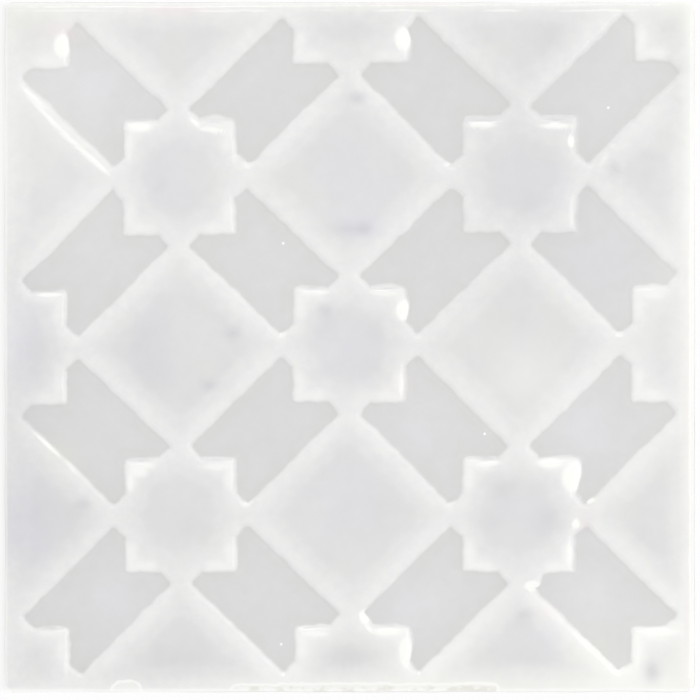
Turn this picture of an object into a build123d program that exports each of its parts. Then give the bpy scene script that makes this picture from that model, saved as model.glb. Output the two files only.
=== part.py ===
from build123d import *
import math
import os

# The tile as a whole, in millimetres. It lies on its back, with +Z up through the glazed face
# and the origin at the middle of the plane that it lies on.
tile_side = 150.0
tile_height = 10.0
plan_corner_radius = 2.0
rim_radius = 1.6
foot_radius = 0.4

# The pattern of the face. Star centres and diamond centres alternate on a square grid, and a
# sunken strip, notched at both ends by its two stars, fills each cell of the grid.
cells_across = 4
pattern_margin = 1.6
star_half_side = 12.1
strip_half_width = 8.95
relief_depth = 1.2

# How the walls of a sunken strip are shaped.
wall_draft = 25.0
shoulder_radius = 1.5

# The keys pressed into the back, which the adhesive grips.
keys_across = 10
key_depth = 0.8
key_land = 2.4
key_draft = 25.0
back_border = 4.5

pitch = (tile_side - 2 * pattern_margin) / cells_across
floor_height = tile_height - relief_depth


def star_end(centre_distance):
    """The five corners that a star leaves at one end of a strip that runs along +X +Y.

    The star is two equal squares, one turned by 45 degrees, centred at minus centre_distance.
    """
    point_reach = star_half_side * math.sqrt(2)
    strip_offset = strip_half_width * math.sqrt(2)
    tip_near = (point_reach - strip_offset) / 2
    tip_far = (point_reach + strip_offset) / 2
    valley = point_reach - star_half_side
    corners = [
        (tip_near, tip_far),
        (valley, star_half_side),
        (star_half_side, star_half_side),
        (star_half_side, valley),
        (tip_far, tip_near),
    ]
    return [(x - centre_distance, y - centre_distance) for x, y in corners]


def strip_outline():
    """The floor of one strip, centred on its cell."""
    near = star_end(pitch / 2)
    far = [(-x, -y) for x, y in near]
    return make_face(Polyline(*near, *far, close=True))


def strip_punch():
    """What one strip takes out of the face, with the rounded shoulder around it."""
    lid_side = pitch + 2 * (relief_depth + shoulder_radius)
    pocket = extrude(Pos(0, 0, floor_height) * strip_outline(), relief_depth)
    walls = pocket.faces().filter_by(lambda face: abs(face.normal_at().Z) < 0.5)
    pocket = draft(walls, Plane((0, 0, floor_height)), -wall_draft)
    lid = Pos(0, 0, tile_height + relief_depth / 2) * Box(lid_side, lid_side, relief_depth)
    punch = pocket + lid
    mouth = punch.edges().filter_by_position(Axis.Z, tile_height, tile_height)
    mouth = [e for e in mouth if max(abs(e.center().X), abs(e.center().Y)) < pitch / 2]
    return fillet(mouth, shoulder_radius)


def blank():
    """The plain tile, with its softened rim."""
    body = extrude(RectangleRounded(tile_side, tile_side, plan_corner_radius), tile_height)
    body = fillet(body.faces().sort_by(Axis.Z)[-1].edges(), rim_radius)
    return fillet(body.faces().sort_by(Axis.Z)[0].edges(), foot_radius)


def strips():
    """One punch in each cell, turned so that it runs from star to star."""
    punch = strip_punch()
    turned = Rot(0, 0, 90) * punch
    first = -(cells_across - 1) / 2
    placed = []
    for i in range(cells_across):
        for j in range(cells_across):
            runs_up_right = (i + j + cells_across // 2 * 2) % 2 == 0
            where = Pos((first + i) * pitch, (first + j) * pitch, 0)
            placed.append(where * (punch if runs_up_right else turned))
    return placed


def keys():
    """The square recesses of the back, which leave a grid of lands and a plain border."""
    step = (tile_side - 2 * back_border + key_land) / keys_across
    mouth = step - key_land
    recess = extrude(Rectangle(mouth, mouth), key_depth, taper=key_draft)
    return [where * recess for where in GridLocations(step, step, keys_across, keys_across)]


def relief_tile():
    return blank() - strips() - keys()


os.makedirs("parts", exist_ok=True)
export_step(relief_tile(), "parts/relief_tile.step")
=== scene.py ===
# A glazed relief tile that lies on its back, seen from straight above.
import math

import bmesh
import bpy
import numpy as np
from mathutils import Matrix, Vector, noise


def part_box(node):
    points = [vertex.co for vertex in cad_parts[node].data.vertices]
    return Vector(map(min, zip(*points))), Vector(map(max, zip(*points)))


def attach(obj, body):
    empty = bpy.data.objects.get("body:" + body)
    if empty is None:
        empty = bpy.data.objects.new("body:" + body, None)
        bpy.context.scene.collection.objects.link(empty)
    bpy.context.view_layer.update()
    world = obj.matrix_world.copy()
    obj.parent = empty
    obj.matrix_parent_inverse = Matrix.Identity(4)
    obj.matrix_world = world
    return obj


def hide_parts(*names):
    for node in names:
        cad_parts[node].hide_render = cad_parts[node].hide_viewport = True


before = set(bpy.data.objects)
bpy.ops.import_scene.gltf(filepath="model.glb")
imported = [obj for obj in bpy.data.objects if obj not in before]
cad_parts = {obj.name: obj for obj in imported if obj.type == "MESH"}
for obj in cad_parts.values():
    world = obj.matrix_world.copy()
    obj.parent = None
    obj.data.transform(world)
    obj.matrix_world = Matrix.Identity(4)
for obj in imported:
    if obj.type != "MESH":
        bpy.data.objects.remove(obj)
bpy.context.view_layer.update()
low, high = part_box("relief_tile")
mm = 0.001
print("frame loaded: tile", [round(v / mm, 2) for v in (high - low)], "mm")

view = {
    "lens": 100,
    "sensor": 36,
    "pixels": 700,            # the side of the photo
    "pixelsAcross": 693,      # how many of them the tile's side spans
    "centre": (349.8, 347),   # the pixel of its middle
}
# the relief of the face, in millimetres
relief = {
    "side": (high.x - low.x) / mm,
    "height": (high.z - low.z) / mm,
    "cells": 4,
    "margin": 1.6,            # from the outermost star centres to the edge
    "starHalfSide": 12.1,
    "turnedHalfSide": 11.75,  # the other square of a star, which ends the strips
    "stripHalfWidth": 8.95,
    "depth": 1.1,             # top of the lattice to the floor of a strip
    "tipRound": 1.0,          # corners of the strips, seen from above
    "valleyRound": 0.5,
    "starRound": 0.6,
    "leastRound": 0.12,       # what is left of them where the outline moves towards their centres
    "shoulderWidth": 3.4,     # how far the soft shoulder reaches into the lattice
    "shoulderDrop": 0.55,
    "shoulderBlend": 2.5,     # how sharply two shoulders meet
    "shoulderMost": 1.12,     # how far they may sink together, as a share of one drop
    "wallFoot": -0.8,         # the wall starts and ends here, outwards from the outline
    "wallTop": 1.0,
    "spineStart": 1.6,        # the floor closes on a line that starts this far behind a star's corner
}
# the rings of points around a strip: their distances from its outline, then their shares of the way
# from the last of those to the cell's border or to the middle of the floor
rings = {
    "outwards": (0.1, 0.2, 0.3, 0.42, 0.55, 0.7, 0.88, 1.1, 1.35),
    "toBorder": (0.035, 0.075, 0.12, 0.17, 0.225, 0.285, 0.36, 0.46, 0.6, 0.8, 1.0),
    "inwards": (-0.15, -0.32, -0.52, -0.75, -1.0),
    "toMiddle": (0.1, 0.25, 0.45, 0.7, 1.0),
}
pitch = (relief["side"] - 2 * relief["margin"]) / relief["cells"]
half = relief["side"] / 2
gridHalf = half - relief["margin"]
ground = relief["height"] - relief["depth"]
weld = 1e-4                   # points closer than this are one
farOff = 99                   # marks the points whose distance from the outline isn't known yet


def stripCorners():
    # half of a strip's ten corners, from the star's own one on, then the opposite half
    star = relief["starHalfSide"]
    reach = relief["turnedHalfSide"] * math.sqrt(2)
    width = relief["stripHalfWidth"] * math.sqrt(2)
    near = [(star, star), (star, reach - star), ((reach + width) / 2, (reach - width) / 2)]
    far = [(pitch - (reach - width) / 2, pitch - (reach + width) / 2), (pitch - (reach - star), pitch - star)]
    opposite = [(pitch - x, pitch - y) for x, y in near + far]
    return [np.array(p) for p in near + far + opposite]


corners = stripCorners()
cornerRound = [relief[name] for name in ("starRound", "valleyRound", "tipRound", "tipRound", "valleyRound")] * 2
cornerCuts = [6, 3, 6, 6, 3] * 2
edgeCuts = [9, 4, 30, 4, 9] * 2
columns = sum(cornerCuts) + sum(edgeCuts)
neckReach = (relief["turnedHalfSide"] + relief["stripHalfWidth"]) / math.sqrt(2)


def ringPoints(offset):
    # the strip's outline moved outwards by offset, with its corners rounded to suit
    arcs = []
    for i, corner in enumerate(corners):
        before = corner - corners[i - 1]
        after = corners[(i + 1) % len(corners)] - corner
        before = before / np.linalg.norm(before)
        after = after / np.linalg.norm(after)
        turn = math.atan2(before[0] * after[1] - before[1] * after[0], before @ after)
        outA = np.array((before[1], -before[0]))
        outB = np.array((after[1], -after[0]))
        spot = corner + offset * (outA + outB) / (1 + outA @ outB)
        side = 1 if turn > 0 else -1
        radius = max(cornerRound[i] + side * offset, relief["leastRound"])
        centre = spot - before * radius * math.tan(abs(turn) / 2) - side * radius * outA
        start = math.atan2(outA[1], outA[0])
        angles = [start + turn * k / cornerCuts[i] for k in range(cornerCuts[i] + 1)]
        arcs.append([centre + side * radius * np.array((math.cos(a), math.sin(a))) for a in angles])
    points = []
    for i, arc in enumerate(arcs):
        points += arc
        ahead = arcs[(i + 1) % len(arcs)][0]
        points += [arc[-1] + (ahead - arc[-1]) * k / edgeCuts[i] for k in range(1, edgeCuts[i])]
    return np.roll(np.array(points), -cornerCuts[0] // 2, axis=0)


def runLength(points):
    # how far along a closed ring each of its points lies
    steps = np.linalg.norm(np.roll(points, -1, axis=0) - points, axis=1)
    return np.concatenate(([0], np.cumsum(steps)))


def borderPoints(inner):
    # where each column of the last ring meets the cell's square border
    along = runLength(inner)
    neck = cornerCuts[0] // 2 + edgeCuts[0] + cornerCuts[1] + edgeCuts[1] + cornerCuts[2] // 2
    quarter = columns // 4
    reach = []
    for k in range(quarter):
        if k < neck:
            reach.append(neckReach * along[k] / along[neck])
        else:
            reach.append(neckReach + (pitch - neckReach) * (along[k] - along[neck]) / (along[quarter] - along[neck]))
    reach = np.array(reach + [pitch])
    bottom = [(t, 0.0) for t in reach[:-1]]
    right = [(pitch, pitch - t) for t in reach[:0:-1]]
    return np.array(bottom + right + [(pitch - x, pitch - y) for x, y in bottom + right])


def spinePoints(inner):
    # the line along the middle of the strip on which its floor closes
    along = runLength(inner)
    halfWay = columns // 2
    start = relief["starHalfSide"] + relief["spineStart"]
    share = along[: halfWay + 1] / along[halfWay]
    line = start + share * (pitch - 2 * start)
    line = np.concatenate((line, line[-2:0:-1]))
    return np.stack((line, line), axis=1)


def segmentDistance(points, path):
    # how far each point lies from an open path
    best = np.full(len(points), 1e9)
    for p, q in zip(path[:-1], path[1:]):
        d = q - p
        t = np.clip(((points - p) @ d) / (d @ d), 0, 1)
        best = np.minimum(best, np.linalg.norm(points - p - t[:, None] * d, axis=1))
    return best


def smooth(value, start, end):
    t = np.clip((value - start) / (end - start), 0, 1)
    return t * t * (3 - 2 * t)


def latticeHeight(points, signed):
    # signed is the distance to this cell's own outline, negative on the strip's floor
    outline = ringPoints(0.0)
    loop = np.concatenate((outline, outline[:1]))
    halfWay = columns // 2
    total = np.zeros(len(points))
    for turned in (
        points,
        points * (-1, 1),
        points * (1, -1),
        (2 * pitch, 0) + points * (-1, 1),
        (0, 2 * pitch) + points * (1, -1),
    ):
        for path in (loop[: halfWay + 1], loop[halfWay:]):
            distance = segmentDistance(turned, path)
            if turned is points:
                distance = np.where(signed < 0, 0, distance)
            drop = relief["shoulderDrop"] * np.clip(1 - distance / relief["shoulderWidth"], 0, 1) ** 2
            total += drop ** relief["shoulderBlend"]
    together = total ** (1 / relief["shoulderBlend"])
    crest = relief["height"] - np.minimum(together, relief["shoulderDrop"] * relief["shoulderMost"])
    return ground + (crest - ground) * smooth(signed, relief["wallFoot"], relief["wallTop"])


def extrudeRing(mesh, edges):
    # one more ring of faces along these edges, as its new points and the edges between them
    made = bmesh.ops.extrude_edge_only(mesh, edges=edges)["geom"]
    points = {g for g in made if isinstance(g, bmesh.types.BMVert)}
    return points, [g for g in made if isinstance(g, bmesh.types.BMEdge) and points.issuperset(g.verts)]


def cellMesh():
    # one strip and the lattice around it, up to the borders of its square cell
    mesh = bmesh.new()
    column = mesh.verts.layers.int.new("column")
    signed = mesh.verts.layers.float.new("signed")
    mesh.verts.layers.float_vector.new("home")
    outline = ringPoints(0.0)
    circle = bmesh.ops.create_circle(mesh, cap_ends=False, radius=1, segments=columns)["verts"]
    for k, vert in enumerate(circle):
        vert[column] = k
        vert.co = (*outline[k], 0)
    startEdges = list(mesh.edges)

    def grow(edges, target, distance):
        points, edges = extrudeRing(mesh, edges)
        for vert in points:
            vert.co = (*target[vert[column]], 0)
            vert[signed] = distance
        return edges

    def growAll(edges, offsets, shares, finalPoints, mark):
        for offset in offsets:
            last = ringPoints(offset)
            edges = grow(edges, last, offset)
        final = finalPoints(last)
        for share in shares:
            edges = grow(edges, last + (final - last) * share, mark)

    growAll(startEdges, rings["outwards"], rings["toBorder"], borderPoints, farOff)
    growAll(startEdges, rings["inwards"], rings["toMiddle"], spinePoints, -farOff)
    bmesh.ops.remove_doubles(mesh, verts=mesh.verts, dist=weld)

    points = np.array([v.co.xy for v in mesh.verts])
    distance = np.array([v[signed] for v in mesh.verts])
    measured = segmentDistance(points, np.concatenate((outline, outline[:1])))
    distance = np.where(np.abs(distance) > farOff / 2, np.sign(distance) * measured, distance)
    for vert, height, outwards in zip(mesh.verts, latticeHeight(points, distance), distance):
        vert.co.z = height
        vert[signed] = outwards
    return mesh


mesh = cellMesh()
print("one cell:", len(mesh.verts), "points")
for axis, shift in (("X", (pitch, 0, 0)), ("Y", (0, pitch, 0))):
    for way in (-1, 1):       # first across a cell's far border, then across the tile's middle
        bmesh.ops.translate(mesh, vec=[way * v for v in shift], verts=mesh.verts)
        everything = list(mesh.verts) + list(mesh.edges) + list(mesh.faces)
        bmesh.ops.mirror(mesh, geom=everything, merge_dist=weld, axis=axis)
farthest = [round(max(v.co[i] for v in mesh.verts), 3) for i in range(3)]
print("face of the tile:", len(mesh.verts), "points", farthest)

# the rim, the sides and the back, in millimetres
rim = {
    "radius": 1.6,
    "fullness": 0.7,          # 1 is a plain quarter circle, less is a fuller edge
    "steps": 7,
    "cornerRadius": 2.0,
    "cornerStart": 3.2,       # the columns within this distance of a corner share its arc
    "sideHeights": (7.4, 6.2, 4.8, 3.4, 2.0, 1.0),
    "footRadius": 0.4,
    "footSteps": 3,
}
keys = {
    "across": 10,
    "depth": 0.8,
    "land": 2.4,
    "border": 4.5,
    "wall": 0.37,             # how far the walls lean inwards
    "lip": 0.12,              # the same for the eased edges at the mouth and at the floor, and their height
    "foot": 0.16,
    "eased": 0.08,
}


def outerPoint(x, y, reach):
    # the tile's plan outline, out from a point of the outermost grid line
    radius, start = rim["cornerRadius"], rim["cornerStart"]
    across, along = reach, min(abs(x), abs(y))
    fromCorner = gridHalf - along
    if fromCorner < start:
        straight = start + reach - gridHalf - radius
        run = (1 - fromCorner / start) * (straight + radius * math.pi / 4)
        if run < straight:
            along = gridHalf - start + run
        else:
            angle = (run - straight) / radius
            across, along = (reach - radius + radius * turn for turn in (math.cos(angle), math.sin(angle)))
    if abs(y) > abs(x):
        across, along = along, across
    return Vector((math.copysign(across, x), math.copysign(along, y)))


edges = [e for e in mesh.edges if e.is_boundary]
home = mesh.verts.layers.float_vector["home"]
signed = mesh.verts.layers.float["signed"]
for vert in {v for e in edges for v in e.verts}:
    vert[home] = vert.co
    vert[signed] = 9          # well outwards of any strip, and so on the rim and the sides


def growRim(edges, reach, share=1.0, drop=0.0, height=None):
    # the next ring lies this share of the way to the outline at that reach, lower than the face or at a height
    points, edges = extrudeRing(mesh, edges)
    for vert in points:
        start = vert[home]
        spot = start.xy.lerp(outerPoint(start.x, start.y, reach), share)
        vert.co = (spot.x, spot.y, start.z - drop if height is None else height)
    return edges


for k in range(1, rim["steps"] + 1):
    angle = math.pi / 2 * k / rim["steps"]
    share = math.sin(angle) ** rim["fullness"]
    edges = growRim(edges, half, share=share, drop=rim["radius"] * (1 - math.cos(angle)))
for height in (*rim["sideHeights"], rim["footRadius"]):
    edges = growRim(edges, half, height=height)
for k in range(1, rim["footSteps"] + 1):
    angle = math.pi / 2 * k / rim["footSteps"]
    inset = rim["footRadius"] * (1 - math.cos(angle))
    edges = growRim(edges, half - inset, height=rim["footRadius"] * (1 - math.sin(angle)))
footLoop = edges

count = keys["across"]
step = (relief["side"] - 2 * keys["border"] + keys["land"]) / count
grid = bmesh.ops.create_grid(mesh, x_segments=count, y_segments=count, size=step * count / 2)["verts"]
gridFaces = list(dict.fromkeys(f for v in grid for f in v.link_faces))
bmesh.ops.reverse_faces(mesh, faces=gridFaces)
for thickness, depth in (
    (keys["land"] / 2, 0),
    (keys["lip"], keys["eased"]),
    (keys["wall"], keys["depth"] - 2 * keys["eased"]),
    (keys["foot"], keys["eased"]),
):
    bmesh.ops.inset_individual(mesh, faces=gridFaces, thickness=thickness, depth=-depth, use_even_offset=True)
footEdges = set(footLoop)
gridLoop = [e for e in mesh.edges if e.is_boundary and e not in footEdges]
innerLoop = []
pieces = len(footLoop) // len(gridLoop)
for edge in gridLoop:         # cut as finely as the foot, so that the two loops match one to one
    start = edge.verts[0]
    for left in range(pieces, 1, -1):
        piece, start = bmesh.utils.edge_split(edge, start, 1 / left)
        innerLoop.append(piece)
    innerLoop.append(edge)
print("edges of the two loops of the back:", len(footLoop), len(innerLoop))
bmesh.ops.bridge_loops(mesh, edges=footLoop + innerLoop)
bmesh.ops.recalc_face_normals(mesh, faces=mesh.faces)
closed = all(e.is_manifold for e in mesh.edges)
print("closed:", closed, "triangles:", sum(len(f.verts) - 2 for f in mesh.faces))

# what the hand, the press and the kiln did, in millimetres
unevenness = {
    "swell": 0.10,            # slow rise and fall of the lattice
    "ripple": 0.03,
    "wander": 0.15,           # how far the outlines stray sideways, slowly and quickly
    "nibble": 0.30,
    "edgeWander": 0.35,       # how far the sides stray inwards
    "edgeFall": 0.35,         # how far the face sinks towards the rim, and over what width
    "edgeWidth": 4.5,
    "edgeFade": 3,            # the strips stray less and less over this last stretch before the sides
    "starStretch": 0.035,     # how much taller than wide the stars are
    "starArea": 330,          # the square of the distance from their middles at which that ends
    "dent": 0.17,             # depth of a full hollow
    "swellSize": 17,
    "rippleSize": 5,
    "wanderSize": 9,
    "nibbleSize": 2.2,
    "below": 0.3,             # a point less than this below the floors belongs to the face
    "lattice": (-0.7, -0.1),  # beads and rolls of glaze start and are full at these distances from the outline
}
# the pale band along the lattice's edges: thin glaze in part, and in part painted light, lighter where more sunken
# floor and open air lie around, as on lit open shoulders
glazeRun = {
    "spread": 2.5,            # how far the strips and the rim reach into the pale band of the lattice
    "step": 0.25,
    "full": 0.27,             # share of open surroundings at which the glaze is thinnest
    "softness": 0.45,
    "starts": (-0.5, 0.65),   # where it goes over into the pooled glaze of the strips
    "climb": {"long": 0.06, "star": -0.03, "starTop": 0.15, "starFoot": -0.1},
    "rimShare": 0.75,         # how much the open air beyond the sides counts, against a floor's 1
    "sheet": 1.25,            # how far out the air is counted, as a share of the tile's side
}
# the glaze on the stars: distances from a star's middle, along the sides of its upright square
starGlaze = {
    "wallOf": (13.2, 14.2),   # a wall nearer than this is the star's own
    "ends": 12.4,
    "border": (8.4, 10.8),    # where the thin glaze of the border starts and is full, and how thin it is
    "thin": 0.5,
    "corner": (8.8, 10.6),    # the same for the white corners, and then along the other side
    "cornerAside": (4.5, 7),
    "fromWall": 0.8,          # both are full at this distance from a wall
}
# the pooled glaze of the floors, with painted light: it is paler towards the middle of a floor, away from the shade
# of its walls, and lighter by so many levels at the foot of a wall, against the shade there
floorGlaze = {
    "middle": (0.3, 4.5),
    "pale": 0.45,
    "footLight": 1.6,
    "footAt": 0.9,
    "footWidth": 0.9,
}
# how far each crossing of the lattice strayed to the right and up, from the top left one on, row by row
strays = [
    [(0.1, -0.45), (-0.7, -0.35), (0.0, 0.6), (0.4, 1.2), (0.6, 1.25)],
    [(0.5, -0.25), (-0.45, -0.15), (-0.35, 0.4), (0.25, 0.6), (0.4, 0.85)],
    [(-0.2, -0.3), (-0.25, 0.2), (-0.1, 0.55), (0.15, 0.3), (-0.35, 0.8)],
    [(0.35, -0.15), (0.0, 0.2), (-0.25, 0.5), (-0.2, -0.05), (-0.2, 0.45)],
    [(0.6, 0.0), (0.15, 0.4), (0.5, 0.45), (0.05, 0.55), (-0.15, 0.0)],
]
# each place where an edge was pushed out of line: pixels of the photo, how far right and up, and the reach
pushes = [
    (217, 120, 0, 1.1, 3.4), (242, 161, 0.7, 0.7, 2.6), (534, 578, 1.2, -1.2, 2.4), (365, 623, 0.35, 0.35, 2.0),
    (404, 646, 1.3, 0, 3.6), (404, 48, 0.8, 0, 3.4), (66, 48, 0.45, 0, 3.0), (625, 668, -0.4, 0.4, 2.2),
    (534, 116, -0.4, -0.4, 2.2), (27, 285, -0.3, -0.3, 2.5), (501, 240, 0.28, 0.28, 2.2),
    (434, 153, -0.28, -0.28, 8), (493, 94, 0.25, 0.25, 8), (96, 153, 0.24, 0.24, 9), (94, 34, -0.25, -0.25, 9),
    (388, 291, 0, 0.5, 3.0), (577, 472, 1.4, 0.4, 3.4), (407, 308, 0.5, 0, 2.4), (27, 71, -0.3, 0.3, 2.2),
    (27, 623, -0.3, -0.3, 2.2), (309, 291, 0, 0.4, 2.6), (332, 285, 0.2, -0.2, 2.0),
    (118, 195, -0.45, -0.45, 1.8), (50, 629, 0, 0.3, 3.0), (478, 460, 0, 0.3, 3.0), (50, 65, 0, -0.3, 3.0),
    (287, 668, -0.2, 0.2, 1.8), (45, 254, 0.22, -0.22, 6), (287, 364, -0.2, -0.2, 1.8), (313, 628, 0, 0.3, 3.0),
    (388, 628, 0, 0.3, 3.0), (650, 290, 0, 0.25, 3.0),
]
# each of these: pixels of the photo, then how far it stands up and its reach along x and y in millimetres; its top
# is painted white as a highlight
beads = [
    (62, 46, 0.34, 1.9, 2.8), (403, 39, 0.36, 1.9, 2.8), (403, 310, 0.34, 1.7, 2.5), (574, 477, 0.42, 2.8, 3.9),
    (406, 652, 0.34, 1.6, 3.6), (365, 617, 0.22, 1.3, 1.8), (571, 141, 0.20, 0.8, 1.4),
    (533, 586, 0.18, 2.0, 1.2), (576, 524, 0.12, 0.9, 1.2), (619, 673, 0.10, 1.2, 0.8),
    (590, 501, 0.08, 1.0, 0.7),
]
# a roll of glaze lies along an edge: its place, height, half length, half width, turn in degrees and whiteness, a
# highlight painted along it
rolls = [
    (138, 127, 0.16, 3.1, 1.1, 0, 0.95), (213, 130, 0.14, 3.2, 0.6, -6, 0.85),
    (195, 123, 0.10, 1.5, 0.5, -42, 0.8), (481, 125, 0.12, 3.2, 0.6, 0, 0.8), (556, 126, 0.12, 3.4, 0.6, 0, 0.85),
    (313, 293, 0.14, 3.2, 0.6, 0, 0.6), (386, 293, 0.14, 3.2, 0.6, 0, 0.6), (487, 464, 0.14, 2.8, 0.6, 6, 0.85),
    (551, 463, 0.14, 3.0, 1.2, 0, 0.95), (140, 466, 0.12, 3.2, 0.7, 0, 0.7), (218, 467, 0.12, 3.2, 0.7, 0, 0.6),
    (388, 632, 0.18, 3.2, 0.9, 0, 1.0), (49, 295, 0.12, 2.8, 0.5, 0, 0.9), (52, 634, 0.12, 3.0, 0.5, 0, 0.4),
    (650, 296, 0.08, 2.8, 0.6, 0, 0.4), (645, 634, 0.10, 2.8, 0.7, 0, 0.7), (128, 146, 0.10, 3.2, 0.9, 90, 0.5),
    (137, 472, 0.04, 2.4, 1.2, 0, 0.75), (401, 385, 0.12, 2.8, 0.7, 90, 0.7), (569, 555, 0.12, 3.0, 0.8, 90, 0.8),
    (234, 556, 0.08, 2.6, 0.7, 90, 0.4), (66, 662, 0.10, 3.2, 0.6, 90, 0.4), (234, 150, 0.08, 3.2, 0.6, 90, 0.3),
    (571, 216, 0.08, 2.8, 0.6, 90, 0.3), (130, 482, 0.10, 2.2, 0.8, 90, 0.8), (64, 133, 0.14, 11, 0.5, -45, 1.0),
    (94, 161, 0.12, 4.5, 0.55, -42, 1.0), (34, 99, 0.10, 3.5, 0.7, -45, 0.7), (448, 163, 0.03, 1.0, 0.6, 30, 0.7),
    (283, 334, 0.03, 1.0, 0.6, 30, 0.7), (620, 334, 0.03, 1.0, 0.6, 30, 0.6), (452, 503, 0.03, 1.0, 0.6, 30, 0.5),
    (248, 503, 0.03, 1.2, 0.7, 30, 0.7), (248, 164, 0.03, 1.2, 0.7, 0, 0.5), (47, 445, 0.06, 3.8, 0.4, -43, 0.9),
    (73, 468, 0.03, 2.5, 0.7, -43, 0.4), (593, 650, 0.05, 7.0, 0.9, -42, 0.75),
    (553, 614, 0.03, 4.0, 0.9, -42, 0.4), (313, 634, 0.12, 3.2, 0.6, 0, 0.8),
    (369, 629, 0.12, 1.4, 0.5, -45, 0.9), (620, 671, 0.04, 2.2, 0.9, 0, 0.8),
    (637, 649, 0.06, 4.2, 0.9, 90, 0.95), (659, 632, 0.06, 4.8, 0.9, 0, 0.95),
    (604, 160, 0.01, 1.6, 0.5, 60, 0.35),
]
# where the pale band and the white are taken back at the foot of a star's top edge, so that it stays dark: place,
# share, and reach along x and y
darkFeet = [
    (216, 120, 0.9, 2.9, 0.6), (313, 288, 0.8, 2.6, 0.5), (388, 289, 0.9, 2.4, 0.5), (482, 120, 0.8, 2.6, 0.5),
    (489, 459, 0.9, 2.6, 0.55), (49, 290, 0.95, 2.6, 0.6), (52, 629, 0.8, 2.6, 0.5), (140, 461, 0.8, 2.4, 0.4),
    (556, 120, 0.9, 3.2, 0.6), (551, 459, 0.8, 3.0, 0.5), (313, 627, 0.9, 3.0, 0.6), (390, 626, 0.9, 2.8, 0.6),
    (652, 627, 0.8, 3.2, 0.5), (215, 461, 0.8, 2.8, 0.45), (141, 119, 0.8, 2.0, 0.45),
]
# and where it sank in, with painted shade in these hollows: place, strength and reach, as in the tables below this
# one
hollows = [
    (363, 229, 0.70, 1.9, 1.4), (350, 229, 0.50, 3.6, 1.4), (614, 168, 0.55, 1.1, 1.6), (524, 615, 0.5, 1.5, 1.2),
    (652, 672, 0.6, 1.6, 2.4), (233, 333, 0.6, 1.5, 1.5), (208, 386, 0.6, 1.5, 1.2), (357, 98, 0.6, 1.8, 1.3),
    (162, 184, 0.4, 1.2, 1.0), (325, 310, 0.5, 1.6, 1.2), (83, 505, 0.5, 1.6, 1.4),
]
# where the pooled glaze is paler
paleSpots = [
    (95, 85, 0.9, 9, 9), (262, 95, 0.3, 8, 8), (95, 262, 0.45, 7, 6), (90, 440, 0.4, 8, 7), (110, 598, 0.9, 7, 8),
    (262, 600, 0.4, 7, 7), (420, 430, 0.8, 7, 7), (600, 100, 0.3, 8, 8), (590, 430, 0.9, 9, 8),
    (410, 610, 0.9, 8, 7), (590, 600, 0.8, 8, 7), (265, 425, 0.3, 8, 8), (600, 265, 0.4, 8, 8),
]
# how many levels lighter or darker the colour is made, over wide stretches and in small clouds; over the wide
# stretches this is painted light, falling across the tile
tonesAndLight = [
    (20, 60, 4, 20, 24), (40, 180, 4, 12, 14), (500, 60, -2, 32, 18), (520, 190, -4, 16, 14),
    (10, 400, -4, 14, 30), (690, 178, 5, 10, 16), (690, 340, 3, 10, 20), (349, 24, -2, 9, 5),
    (705, 705, 11, 16, 16), (14, 528, -7, 8, 9), (10, 340, 3, 6, 8), (8, 400, -3, 4, 60), (10, 690, -4, 14, 9),
    (503, 487, -6, 3.2, 2.2), (493, 522, -4, 3.4, 2.2), (547, 522, -7, 3.8, 3.2), (546, 42, -5, 3.0, 3.0),
    (160, 330, -3, 4.0, 3.0), (530, 207, -4, 3.0, 3.0), (195, 530, -3, 5.0, 3.0), (28, 350, -3, 5, 8),
    (75, 520, -3, 8, 8), (325, 325, -3, 3, 3), (370, 372, -3, 3, 3), (156, 366, -6, 5, 5), (144, 345, -4, 4, 5),
    (528, 376, 8, 8, 6), (515, 322, -3, 7, 4), (376, 515, -3, 6, 8), (374, 340, -4, 3, 4),
    (505, 503, -4, 2.5, 2.5), (345, 662, -6, 6, 4), (176, 672, -6, 10, 6), (522, 678, -4, 9, 5),
    (675, 522, -2, 8, 8), (650, 30, 4, 8, 6), (652, 160, -4, 2.5, 1.3), (648, 178, -4, 2.0, 3.0),
    (662, 195, -3, 1.6, 1.6), (666, 33, -6, 2.6, 2.2), (430, 265, -3, 8, 8), (430, 100, -2, 8, 8),
    (262, 110, -1.5, 8, 8), (600, 265, -2, 8, 8), (262, 430, -2, 8, 8), (590, 600, 3, 8, 8),
    (430, 600, 1.5, 8, 8), (688, 250, 3, 6, 9), (680, 345, 2, 6, 10), (685, 525, 2.5, 7, 12),
    (600, 685, 3, 14, 6), (440, 685, 2, 14, 6), (14, 510, -2, 8, 10), (693, 590, -5, 1.8, 26),
]
# the same, but only in the pale band along the edges
edgeTonesAndLight = [
    (440, 690, 12, 42, 14), (650, 650, 13, 22, 18), (250, 690, 4, 20, 12), (20, 690, 3, 14, 8),
    (620, 430, 3, 20, 20), (520, 100, -3, 30, 12), (176, 347, -3, 14, 6), (480, 300, -3, 20, 12),
    (680, 80, -4, 12, 10),
]
# where the glaze turns violet, or cream below nought
casts = [
    (349, 347, 0.22, 7, 7), (357, 510, 0.20, 9, 9), (16, 526, 0.24, 8, 10), (18, 345, 0.25, 5, 10),
    (523, 522, 0.15, 8, 7), (505, 168, 0.15, 4, 7), (553, 192, 0.18, 4, 6), (176, 176, 0.15, 7, 7),
    (357, 170, 0.12, 9, 9), (165, 350, 0.12, 9, 9), (361, 229, 0.30, 6, 3), (560, 640, 0.15, 5, 5),
    (600, 265, 0.15, 8, 6), (20, 15, -0.20, 8, 5), (690, 15, -0.30, 8, 6), (692, 350, -0.12, 3, 60),
    (695, 695, -0.25, 10, 10), (350, 6, -0.10, 70, 2), (480, 690, -0.15, 40, 3), (63, 455, -0.20, 4, 4),
    (590, 648, -0.20, 6, 6),
]
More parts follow.
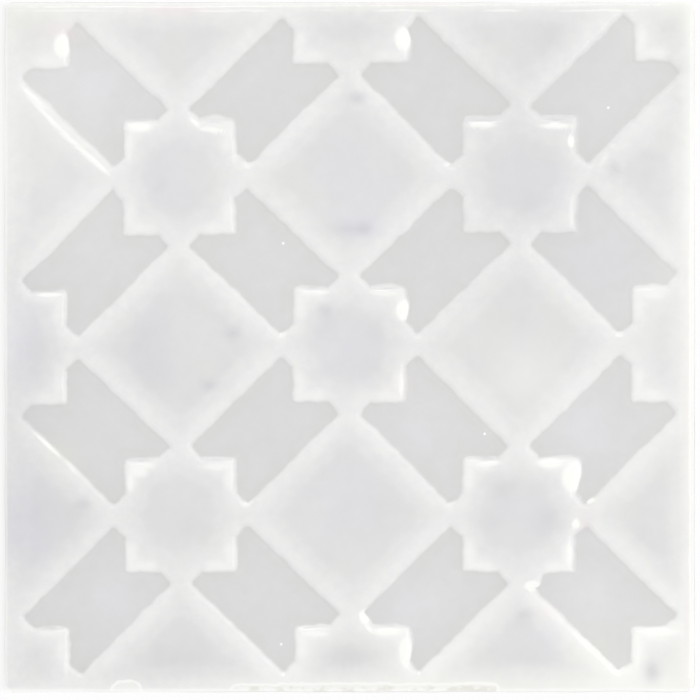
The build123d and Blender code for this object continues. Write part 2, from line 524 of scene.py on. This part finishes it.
# where it fired a little pink
blushes = [
    (62, 28, 0.3, 4, 2), (175, 8, 0.4, 8, 1), (410, 4, 0.4, 8, 0.8), (548, 613, 0.25, 2.4, 1.4),
    (588, 512, 0.2, 2.2, 2.2), (400, 388, 0.2, 3, 3), (586, 524, 0.3, 1.6, 1.2), (687, 400, 0.3, 0.5, 40),
    (688, 620, 0.3, 0.6, 15),
]
# how white the glaze is in the outer corners of each star, by the star's column and row from the middle
starCorners = {
    (0, 0): 0.33, (-1, 1): 0.28, (-1, -1): 0.45, (1, -1): 0.48, (1, 1): 0.0, (0, 2): 0.25, (0, -2): 0.50,
    (-2, 0): 0.25, (2, 0): 0.38, (-2, 2): 0.35, (2, 2): 0.38, (-2, -2): 0.30, (2, -2): 0.45,
}


def fromPhoto(x, y):
    # a pixel of the photo as a place on the tile, in millimetres
    scale = relief["side"] / view["pixelsAcross"]
    return (x - view["centre"][0]) * scale, (view["centre"][1] - y) * scale


def wobble(x, y, size, seed):
    # noise with swells of this size, in millimetres
    return np.array([noise.noise((a, b, seed)) for a, b in zip(x / size, y / size)])


def bell(x, y, spot, reachX, reachY, turn=0):
    # a rounded spot, 1 at its middle
    centreX, centreY = fromPhoto(*spot[:2])
    c, s = math.cos(math.radians(turn)), math.sin(math.radians(turn))
    x, y = x - centreX, y - centreY
    return np.exp(-((x * c + y * s) / reachX) ** 2 - ((y * c - x * s) / reachY) ** 2)


def openAround(x, y):
    # how much sunken floor and open air lies around each spot of the face
    step = glazeRun["step"]
    count = int(relief["side"] * glazeRun["sheet"] / step)
    along = (np.arange(count) - count / 2 + 0.5) * step
    gridX, gridY = np.meshgrid(along, along)

    def folded(v):
        k = np.floor(v / pitch)
        return np.where(k % 2, pitch * (k + 1) - v, v - pitch * k)

    u, v = folded(gridX), folded(gridY)
    inside = np.zeros(gridX.shape, bool)
    for i, (px, py) in enumerate(corners):
        qx, qy = corners[(i + 1) % len(corners)]
        if abs(qy - py) > 1e-9:
            inside ^= ((py > v) != (qy > v)) & (u < (qx - px) * (v - py) / (qy - py) + px)
    inside = np.where(np.maximum(np.abs(gridX), np.abs(gridY)) > half, glazeRun["rimShare"], inside)
    wave = np.fft.fftfreq(count, d=step) * 2 * math.pi
    waveX, waveY = np.meshgrid(wave, wave)
    spread = np.exp(-(waveX ** 2 + waveY ** 2) * glazeRun["spread"] ** 2 / 2)
    drawn = np.real(np.fft.ifft2(np.fft.fft2(inside) * spread))
    place = [((v - along[0]) / step + 0.5).astype(int) for v in (y, x)]
    return np.clip(drawn[place[0], place[1]] / glazeRun["full"], 0, 1) ** glazeRun["softness"]


def stray(x, y):
    # the way from where a point of the lattice should be to where the hand left it
    middle = relief["cells"] // 2
    most = relief["cells"] - 0.001
    u = np.clip(x / pitch + middle, 0, most)
    v = np.clip(middle - y / pitch, 0, most)
    i, j = u.astype(int), v.astype(int)
    u, v = (u - i)[:, None], (v - j)[:, None]
    table = np.array(strays)
    upper = table[j, i] * (1 - u) + table[j, i + 1] * u
    lower = table[j + 1, i] * (1 - u) + table[j + 1, i + 1] * u
    way = upper * (1 - v) + lower * v
    for column in range(-middle, middle + 1):
        for row in range(-middle, middle + 1):
            if (column, row) in starCorners:
                offX, offY = x - column * pitch, y - row * pitch
                near = np.exp(-((offX ** 2 + offY ** 2) / unevenness["starArea"]) ** 3)
                way[:, 1] += unevenness["starStretch"] * offY * near
    for push in pushes:
        way += np.outer(bell(x, y, push, push[4], push[4]), push[2:4])
    return way


def strengths(spots):
    # how strong each spot of a table is at every point of the tile
    return [spot[2] * bell(x, y, spot, *spot[3:5]) for spot in spots]


verts = list(mesh.verts)
x, y, z = np.array([v.co for v in verts]).T
outwards = np.array([v[signed] for v in verts])
onFace = z > ground - unevenness["below"]
onLattice = smooth(outwards, *unevenness["lattice"])
toEdge = half - np.maximum(np.abs(x), np.abs(y))

# the pale band starts earlier on the long walls and on those above the stars' top sides; it is thin glaze in part
# and painted light in part, brightening the walls against their shade
climb = np.full(len(verts), glazeRun["climb"]["long"])
for column, row in starCorners:
    offX, offY = x - column * pitch, y - row * pitch
    byStar = 1 - smooth(np.maximum(np.abs(offX), np.abs(offY)), *starGlaze["wallOf"])
    upper, lower = smooth(offY - np.abs(offX), 0, 2), smooth(-offY - np.abs(offX), 0, 2)
    there = glazeRun["climb"]["star"] * (1 - upper - lower)
    there = there + glazeRun["climb"]["starTop"] * upper + glazeRun["climb"]["starFoot"] * lower
    climb += byStar * (there - climb)
thinGlazeAndLight = np.where(onFace, openAround(x, y) * smooth(outwards + climb, *glazeRun["starts"]), 1)
whiteGlazeAndHighlights = np.zeros(len(verts))
for (column, row), whiteness in starCorners.items():
    offX, offY = np.abs(x - column * pitch), np.abs(y - row * pitch)
    inStar = np.maximum(offX, offY) < starGlaze["ends"]
    offWall = smooth(outwards, 0, starGlaze["fromWall"])
    sideShare = smooth(np.maximum(offX, offY), *starGlaze["border"]) * inStar
    thinGlazeAndLight = np.maximum(thinGlazeAndLight, starGlaze["thin"] * sideShare * offWall)
    cornerShare = smooth(np.maximum(offX, offY), *starGlaze["corner"])
    cornerShare = cornerShare * smooth(np.minimum(offX, offY), *starGlaze["cornerAside"]) * inStar
    whiteGlazeAndHighlights = np.maximum(whiteGlazeAndHighlights, whiteness * cornerShare * offWall)
# painted light: the floors are paler towards their middles, away from the shade of the walls
floorMiddleLight = smooth(-outwards, *floorGlaze["middle"]) * floorGlaze["pale"]
fromFoot = (outwards + floorGlaze["footAt"]) / floorGlaze["footWidth"]
toneAndLight = sum(strengths(tonesAndLight)) + floorGlaze["footLight"] * np.exp(-fromFoot ** 2) * onFace
toneAndLight += sum(strengths(edgeTonesAndLight)) * thinGlazeAndLight
cast = sum(strengths(casts))
blush = np.max(strengths(blushes), axis=0)

fade = np.clip(toEdge / unevenness["edgeFade"], 0, 1)
way = stray(x, y) * fade[:, None]
for k, seed in enumerate((3.1, 8.7)):
    slow = unevenness["wander"] * wobble(x, y, unevenness["wanderSize"], seed)
    quick = unevenness["nibble"] * wobble(x, y, unevenness["nibbleSize"], seed + 3)
    way[:, k] += (slow + quick) * fade
for k, (across, along) in enumerate(((x, y), (y, x))):
    waver = np.abs(wobble(along, np.sign(across) * 3, unevenness["swellSize"], 5.2 + k))
    inwards = unevenness["edgeWander"] * waver * (np.abs(across) / half) ** 6
    way[:, k] -= np.sign(across) * inwards * (1 - fade)
x, y = x + way[:, 0], y + way[:, 1]

lift = -unevenness["swell"] * (0.5 + wobble(x, y, unevenness["swellSize"], 1.0))
lift -= unevenness["ripple"] * (0.5 + wobble(x, y, unevenness["rippleSize"], 2.0))
lift -= unevenness["edgeFall"] * np.clip(1 - toEdge / unevenness["edgeWidth"], 0, 1) ** 2
for footDark in strengths(darkFeet):
    thinGlazeAndLight *= 1 - footDark * onFace
    whiteGlazeAndHighlights *= 1 - footDark * onFace
for bead in beads:
    mound = bell(x, y, bead, *bead[3:5]) * onLattice
    lift += bead[2] * mound
    # painted highlight: the bead's top is made white
    whiteGlazeAndHighlights = np.maximum(whiteGlazeAndHighlights, smooth(mound, 0.25, 0.6))
for roll in rolls:
    mound = bell(x, y, roll, *roll[3:6]) * onLattice
    lift += roll[2] * mound
    # painted highlight along the roll
    whiteGlazeAndHighlights = np.maximum(whiteGlazeAndHighlights, roll[6] * smooth(mound, 0.1, 0.7))
dents = strengths(hollows)
lift -= unevenness["dent"] * sum(dents)
# painted shade in the hollows
hollowShade = np.max(dents, axis=0)
floorMiddleLight = np.max([floorMiddleLight, *strengths(paleSpots)], axis=0)
z = np.where(onFace, np.minimum(z + lift, relief["height"]), z)
for vert, *spot, still in zip(verts, x, y, z, z < 0.01):      # the back stays as it is
    if not still:
        vert.co = spot
painted = {
    "thinGlazeAndLight": thinGlazeAndLight,
    "whiteGlazeAndHighlights": whiteGlazeAndHighlights,
    "hollowShade": hollowShade,
    "floorMiddleLight": floorMiddleLight,
    "toneAndLight": toneAndLight,
    "cast": cast,
    "blush": blush,
}
for name, values in painted.items():
    layer = mesh.verts.layers.float.new(name)
    for vert, value in zip(mesh.verts, values):
        vert[layer] = value
bmesh.ops.scale(mesh, vec=(mm, mm, mm), verts=mesh.verts)
mesh.normal_update()
for face in mesh.faces:
    face.smooth = face.normal.z > -0.999      # the flat faces of the back stay flat
data = bpy.data.meshes.new("relief_tile_glazed")
mesh.to_mesh(data)
mesh.free()
glazedTile = bpy.data.objects.new("relief_tile_glazed", data)
bpy.context.scene.collection.objects.link(glazedTile)
print("tile modelled:", len(data.vertices), "points")


class Wire:
    # one socket of a material, so that its maths reads as plain expressions
    def __init__(self, board, output):
        self.board, self.output = board, output

    def maths(self, operation, first, second):
        return self.board.wire("ShaderNodeMath", {"operation": operation}, {0: first, 1: second})

    def __add__(self, other):
        return self.maths("ADD", self, other)

    def __radd__(self, other):
        return self.maths("ADD", other, self)

    def __sub__(self, other):
        return self.maths("SUBTRACT", self, other)

    def __rsub__(self, other):
        return self.maths("SUBTRACT", other, self)

    def __mul__(self, other):
        return self.maths("MULTIPLY", self, other)

    def __rmul__(self, other):
        return self.maths("MULTIPLY", other, self)

    def __pow__(self, other):
        return self.maths("POWER", self, other)

    def __rpow__(self, other):
        return self.maths("POWER", other, self)

    def __abs__(self):
        return self.maths("ABSOLUTE", self, 0.0)

    def atLeast(self, other):
        return self.maths("MAXIMUM", self, other)


class Board:
    # the nodes of one material, or of the world
    def __init__(self, owner):
        owner.use_nodes = True
        self.owner, self.tree = owner, owner.node_tree
        self.tree.nodes.clear()

    def node(self, kind, settings, sockets):
        made = self.tree.nodes.new(kind)
        for name, value in settings.items():
            setattr(made, name, value)
        for name, value in sockets.items():
            if isinstance(value, Wire):
                self.tree.links.new(value.output, made.inputs[name])
            else:
                made.inputs[name].default_value = value
        return made

    def wire(self, kind, settings, sockets, output=0):
        return Wire(self, self.node(kind, settings, sockets).outputs[output])

    def place(self):
        # the object's own coordinates, and the same one by one in millimetres
        where = self.wire("ShaderNodeTexCoord", {}, {}, 3)
        parts = self.node("ShaderNodeSeparateXYZ", {}, {0: where})
        return where, [Wire(self, parts.outputs[k]) * (1 / mm) for k in range(3)]

    def noise(self, where, name):
        scale, detail, roughness = grain[name]
        sockets = {"Vector": where, "Scale": scale, "Detail": detail, "Roughness": roughness}
        return self.wire("ShaderNodeTexNoise", {}, sockets)

    def ramp(self, value, start, end, low=0.0, high=1.0):
        return self.wire(
            "ShaderNodeMapRange",
            {"interpolation_type": "SMOOTHSTEP"},
            {"Value": value, "From Min": start, "From Max": end, "To Min": low, "To Max": high},
        )

    def blend(self, mask, first, second):
        return self.wire("ShaderNodeMix", {"data_type": "RGBA"}, {0: mask, 6: first, 7: second}, 2)

    def painted(self, name):
        return self.wire("ShaderNodeAttribute", {"attribute_name": name}, {}, 2)

    def finish(self, shader, output="ShaderNodeOutputMaterial"):
        self.node(output, {}, {"Surface": shader})
        return self.owner


def srgb(*levels):
    shares = [level / 255 for level in levels]
    return (*(s / 12.92 if s <= 0.04 else ((s + 0.055) / 1.055) ** 2.4 for s in shares), 1.0)


glaze = {
    "lattice": srgb(224, 224, 225),
    "latticeWarm": srgb(226, 226, 225),
    "violet": srgb(222, 220, 236),
    "cream": srgb(236, 235, 220),
    "pooled": srgb(218, 218, 217),
    "pooledPale": srgb(225, 224, 227),
    "thin": srgb(237, 237, 237),
    "thinCream": srgb(239, 239, 237),
    "white": srgb(254, 254, 251),
    "shade": srgb(192, 192, 194),
    "levels": 29,             # how many levels lie between the lattice's tone and white or the shade
    "cloudTone": 7.0,         # how many the clouds and the mottle add or take
    "mottleTone": 3.5,
    "cloudCast": 0.25,
    "ragged": (0.10, 0.07, 0.08),     # how far clouds, mottle and crumbs fray the edge of the thin glaze
    "thinning": ((0.10, 0.36, 0.42), (0.30, 1.0, 0.58)),      # it thins in two steps: start, end and share
    "bare": srgb(235, 233, 226),
    "hollowShadeColour": srgb(202, 201, 207),
    "blush": srgb(241, 224, 226),
    "body": srgb(214, 203, 186),
    "bodyDark": srgb(203, 189, 169),
    "gloss": 0.07,
    "bareRoughness": 0.75,    # how much rougher the body is
    "bareAt": (2.2, 1.6),     # the glaze ends between these heights, in millimetres
    "poolAt": (9.3, 8.95),    # and the floors of the strips start between these
}
# the noises in the glaze: scale, detail and roughness
grain = {
    "clouds": (130, 3, 0.6),
    "patches": (75, 2, 0.5),
    "mottle": (420, 2, 0.6),
    "crumbs": (1000, 1, 0.5),
    "waver": (150, 3, 0.65),
    "foot": (90, 2, 0.5),
    "waves": (170, 2, 0.5),
    "ripples": (520, 2, 0.5),
}
# painted reflection along each side, for the light on the rounded rim, in millimetres: where its pale band ends and
# is full, how it wavers, how white it is
rimReflection = {
    "left": (1.1, 0.2, 0.3, 0.55),
    "right": (4.2, 0.9, 1.2, 0.40),
    "top": (2.9, 0.2, 0.5, 0.15),
    "bottom": (1.6, 0.2, 0.4, 0.85),
}
# a painted highlight line along the top side
topHighlight = {"inset": 2.2, "width": 0.35, "strength": 0.55}
# white streaks along the lower rim, painted highlight, with a cream crack inside: from and to, height in the photo
# and half thickness
rimStreaks = [(111, 141, 690, 2.0), (231, 499, 690, 1.3)]
# tiny painted glints on the floors, and the height of those floors in millimetres
glints = [(283, 243), (609, 107), (485, 434), (281, 645)]
glintHeight = 8.9


def glazeMaterial():
    board = Board(bpy.data.materials.new("porcelain_glaze"))
    where, (x, y, height) = board.place()
    clouds = board.noise(where, "clouds") - 0.5
    patches = board.noise(where, "patches")
    mottle = board.noise(where, "mottle") - 0.5
    crumbs = board.noise(where, "crumbs") - 0.5
    toneAndLight = board.painted("toneAndLight") + clouds * glaze["cloudTone"] + mottle * glaze["mottleTone"]
    lattice = board.blend(board.ramp(patches + toneAndLight * 0.02, 0.42, 0.62), glaze["lattice"], glaze["latticeWarm"])
    # the floors, painted paler towards their middles, away from the shade of the walls
    pooled = board.blend(board.painted("floorMiddleLight") + mottle * 0.3, glaze["pooled"], glaze["pooledPale"])
    colour = board.blend(board.ramp(height, *glaze["poolAt"]), lattice, pooled)
    # the pale band along the edges: thin glaze in part, painted light on the open shoulders and walls in part
    drawn = board.painted("thinGlazeAndLight")
    byClouds, byMottle, byCrumbs = glaze["ragged"]
    ragged = drawn + (clouds * byClouds + mottle * byMottle + crumbs * byCrumbs) * board.ramp(drawn, 0.0, 0.3)
    thinned = board.blend(board.ramp(mottle, -0.1, 0.12), glaze["thin"], glaze["thinCream"])
    first, second = (board.ramp(ragged, start, end) * share for start, end, share in glaze["thinning"])
    colour = board.blend(first + second, colour, thinned)
    # painted light and tone: lighter or darker by the levels above
    colour = board.blend(toneAndLight * (1 / glaze["levels"]), colour, glaze["white"])
    colour = board.blend(toneAndLight * (-1 / glaze["levels"]), colour, glaze["shade"])
    cast = board.painted("cast") + clouds * glaze["cloudCast"]
    colour = board.blend(cast, colour, glaze["violet"])
    colour = board.blend(cast * -1.0, colour, glaze["cream"])
    colour = board.blend(board.painted("blush"), colour, glaze["blush"])
    # painted shade in the hollows
    colour = board.blend(board.painted("hollowShade"), colour, glaze["hollowShadeColour"])
    # the white star corners, and the painted highlights on the beads and rolls
    colour = board.blend(board.painted("whiteGlazeAndHighlights"), colour, glaze["white"])

    # painted reflections: the pale bands along the sides, and a fine white highlight line along the top one
    waver = (board.noise(where, "waver") - 0.5) * 2
    sides = {"left": x + half, "right": half - x, "top": half - y, "bottom": y + half}
    for side, (ends, full, unsteady, whiteness) in rimReflection.items():
        band = board.ramp(sides[side] + waver * unsteady, ends, full, 0, whiteness)
        colour = board.blend(band, colour, glaze["white"])
    fromLine = abs(sides["top"] + waver * 0.5 - topHighlight["inset"])
    line = board.ramp(fromLine, topHighlight["width"], 0.1, 0, topHighlight["strength"]) * board.ramp(patches, 0.4, 0.55)
    colour = board.blend(line, colour, glaze["white"])

    for start, end, middle, radius in rimStreaks:
        (startX, middleY), (endX, _) = fromPhoto(start, middle), fromPhoto(end, middle)
        past = (abs(x - (startX + endX) / 2) - ((endX - startX) / 2 - radius)).atLeast(0.0)
        rise = y + waver * 0.9 - middleY
        away = (past * past + rise * rise) ** 0.5 + mottle * 0.5
        away = away + board.ramp(height, 8.6, 7.6, 0, 4)      # keeps the streaks off the sides
        colour = board.blend(board.ramp(away, radius, radius - 0.4, 0, 0.35), colour, glaze["white"])
        crack = board.ramp(away, radius - 0.3, radius - 0.7) * board.ramp(mottle * 0.6 + clouds, -0.05, 0.15)
        colour = board.blend(crack, colour, glaze["bare"])
        colour = board.blend(board.ramp(abs(away - radius), 0.45, 0.1, 0, 0.8), colour, glaze["white"])
    for glint in glints:
        spot = [v * mm for v in (*fromPhoto(*glint), glintHeight)]
        away = board.wire("ShaderNodeVectorMath", {"operation": "DISTANCE"}, {0: where, 1: spot}, 1)
        colour = board.blend(board.ramp(away, 0.4 * mm, 0.2 * mm), colour, glaze["white"])

    bare = board.ramp(height + (board.noise(where, "foot") - 0.5) * 4, *glaze["bareAt"])
    dark = board.ramp(mottle + crumbs, 0.0, 0.3) + board.ramp(patches, 0.4, 0.7, 0, 0.4)
    body = board.blend(dark, glaze["body"], glaze["bodyDark"])
    colour = board.blend(bare, colour, body)
    waves = board.noise(where, "waves") + board.noise(where, "ripples") * 0.12
    bump = board.wire("ShaderNodeBump", {}, {"Strength": 1.0, "Distance": 0.05 * mm, "Height": waves})
    surface = board.wire("ShaderNodeBsdfPrincipled", {}, {
        "Base Color": colour,
        "Roughness": bare * glaze["bareRoughness"] + glaze["gloss"],
        "Normal": bump,
    })
    return board.finish(surface)


sweep = {
    "half": 3,                # metres
    "paint": (0.96, 0.96, 0.96, 1),
    "own": 0.93,              # how much of what the camera sees is the sweep's own light
    "white": (1, 1, 1, 1),
    "contactShadow": (0.91, 0.91, 0.905, 1),
    "contactShadowReach": (3.4, 1.4),       # a painted shadow beside the left edge: where it starts and is full, in millimetres
}


def floorMaterial():
    board = Board(bpy.data.materials.new("white_sweep"))
    path = board.node("ShaderNodeLightPath", {}, {})
    seen = Wire(board, path.outputs[0]) + Wire(board, path.outputs[3])
    plain = board.wire("ShaderNodeBsdfDiffuse", {}, {"Color": sweep["paint"]})
    x, y = board.place()[1][:2]
    # painted shadow on the sweep beside the tile's left edge
    contactShadow = board.ramp(abs(x + half), *sweep["contactShadowReach"]) * board.ramp(abs(y), half + 2, half)
    white = board.blend(contactShadow, sweep["white"], sweep["contactShadow"])
    bright = board.wire("ShaderNodeEmission", {}, {"Color": white, "Strength": 1.0})
    return board.finish(board.wire("ShaderNodeMixShader", {}, {0: seen * sweep["own"], 1: plain, 2: bright}))


data.materials.append(glazeMaterial())
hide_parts("relief_tile")
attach(glazedTile, "root")

floorMesh = bmesh.new()
bmesh.ops.create_grid(floorMesh, x_segments=1, y_segments=1, size=sweep["half"])
floorData = bpy.data.meshes.new("sweep")
floorMesh.to_mesh(floorData)
floorMesh.free()
floor = bpy.data.objects.new("sweep", floorData)
bpy.context.scene.collection.objects.link(floor)
floorData.materials.append(floorMaterial())
print("materials made")

# each soft box: azimuth and elevation in degrees, distance and size in metres, and radiance
studio = {
    "boxRight": (0, 46, 0.60, 0.34, 0.12, 2.0),
    "boxTop": (90, 44, 0.60, 0.30, 0.09, 2.9),
    "boxCorner": (45, 36, 0.60, 0.14, 0.10, 1.0),
}
surroundings = {"overhead": 0.62, "atHorizon": 1.2}


def softbox(name, azimuth, elevation, distance, width, tall, radiance):
    lamp = bpy.data.lights.new(name, "AREA")
    lamp.shape = "RECTANGLE"
    lamp.size, lamp.size_y = width, tall
    lamp.energy = radiance * math.pi * width * tall
    holder = bpy.data.objects.new(name, lamp)
    a, e = math.radians(azimuth), math.radians(elevation)
    holder.location = Vector((math.cos(a) * math.cos(e), math.sin(a) * math.cos(e), math.sin(e))) * distance
    holder.rotation_euler = (-holder.location).to_track_quat("-Z", "Y").to_euler()
    holder.visible_camera = False
    bpy.context.scene.collection.objects.link(holder)


for name, values in studio.items():
    softbox(name, *values)
room = Board(bpy.data.worlds.new("studio"))
towards = room.node("ShaderNodeSeparateXYZ", {}, {0: room.wire("ShaderNodeTexCoord", {}, {}, 0)})
upwards = Wire(room, towards.outputs[2])
tent = surroundings["atHorizon"] - upwards * upwards * (surroundings["atHorizon"] - surroundings["overhead"])
seenDirectly = room.wire("ShaderNodeLightPath", {}, {}, 0)
strength = tent * (1 - seenDirectly) + seenDirectly
backdrop = room.wire("ShaderNodeBackground", {}, {"Color": (1, 1, 1, 1), "Strength": strength})
bpy.context.scene.world = room.finish(backdrop, "ShaderNodeOutputWorld")

cameraData = bpy.data.cameras.new("camera")
cameraData.lens = view["lens"]
cameraData.sensor_width = view["sensor"]
cameraData.sensor_fit = "HORIZONTAL"
perPixel = relief["side"] * mm / view["pixelsAcross"]
reach = perPixel * view["pixels"] * view["lens"] / view["sensor"] + relief["height"] * mm
offCentre = [view["pixels"] / 2 - v for v in view["centre"]]
camera = bpy.data.objects.new("camera", cameraData)
camera.location = (offCentre[0] * perPixel, -offCentre[1] * perPixel, reach)
bpy.context.scene.collection.objects.link(camera)
bpy.context.scene.camera = camera
bpy.context.scene.view_settings.view_transform = "Standard"
print("studio set")
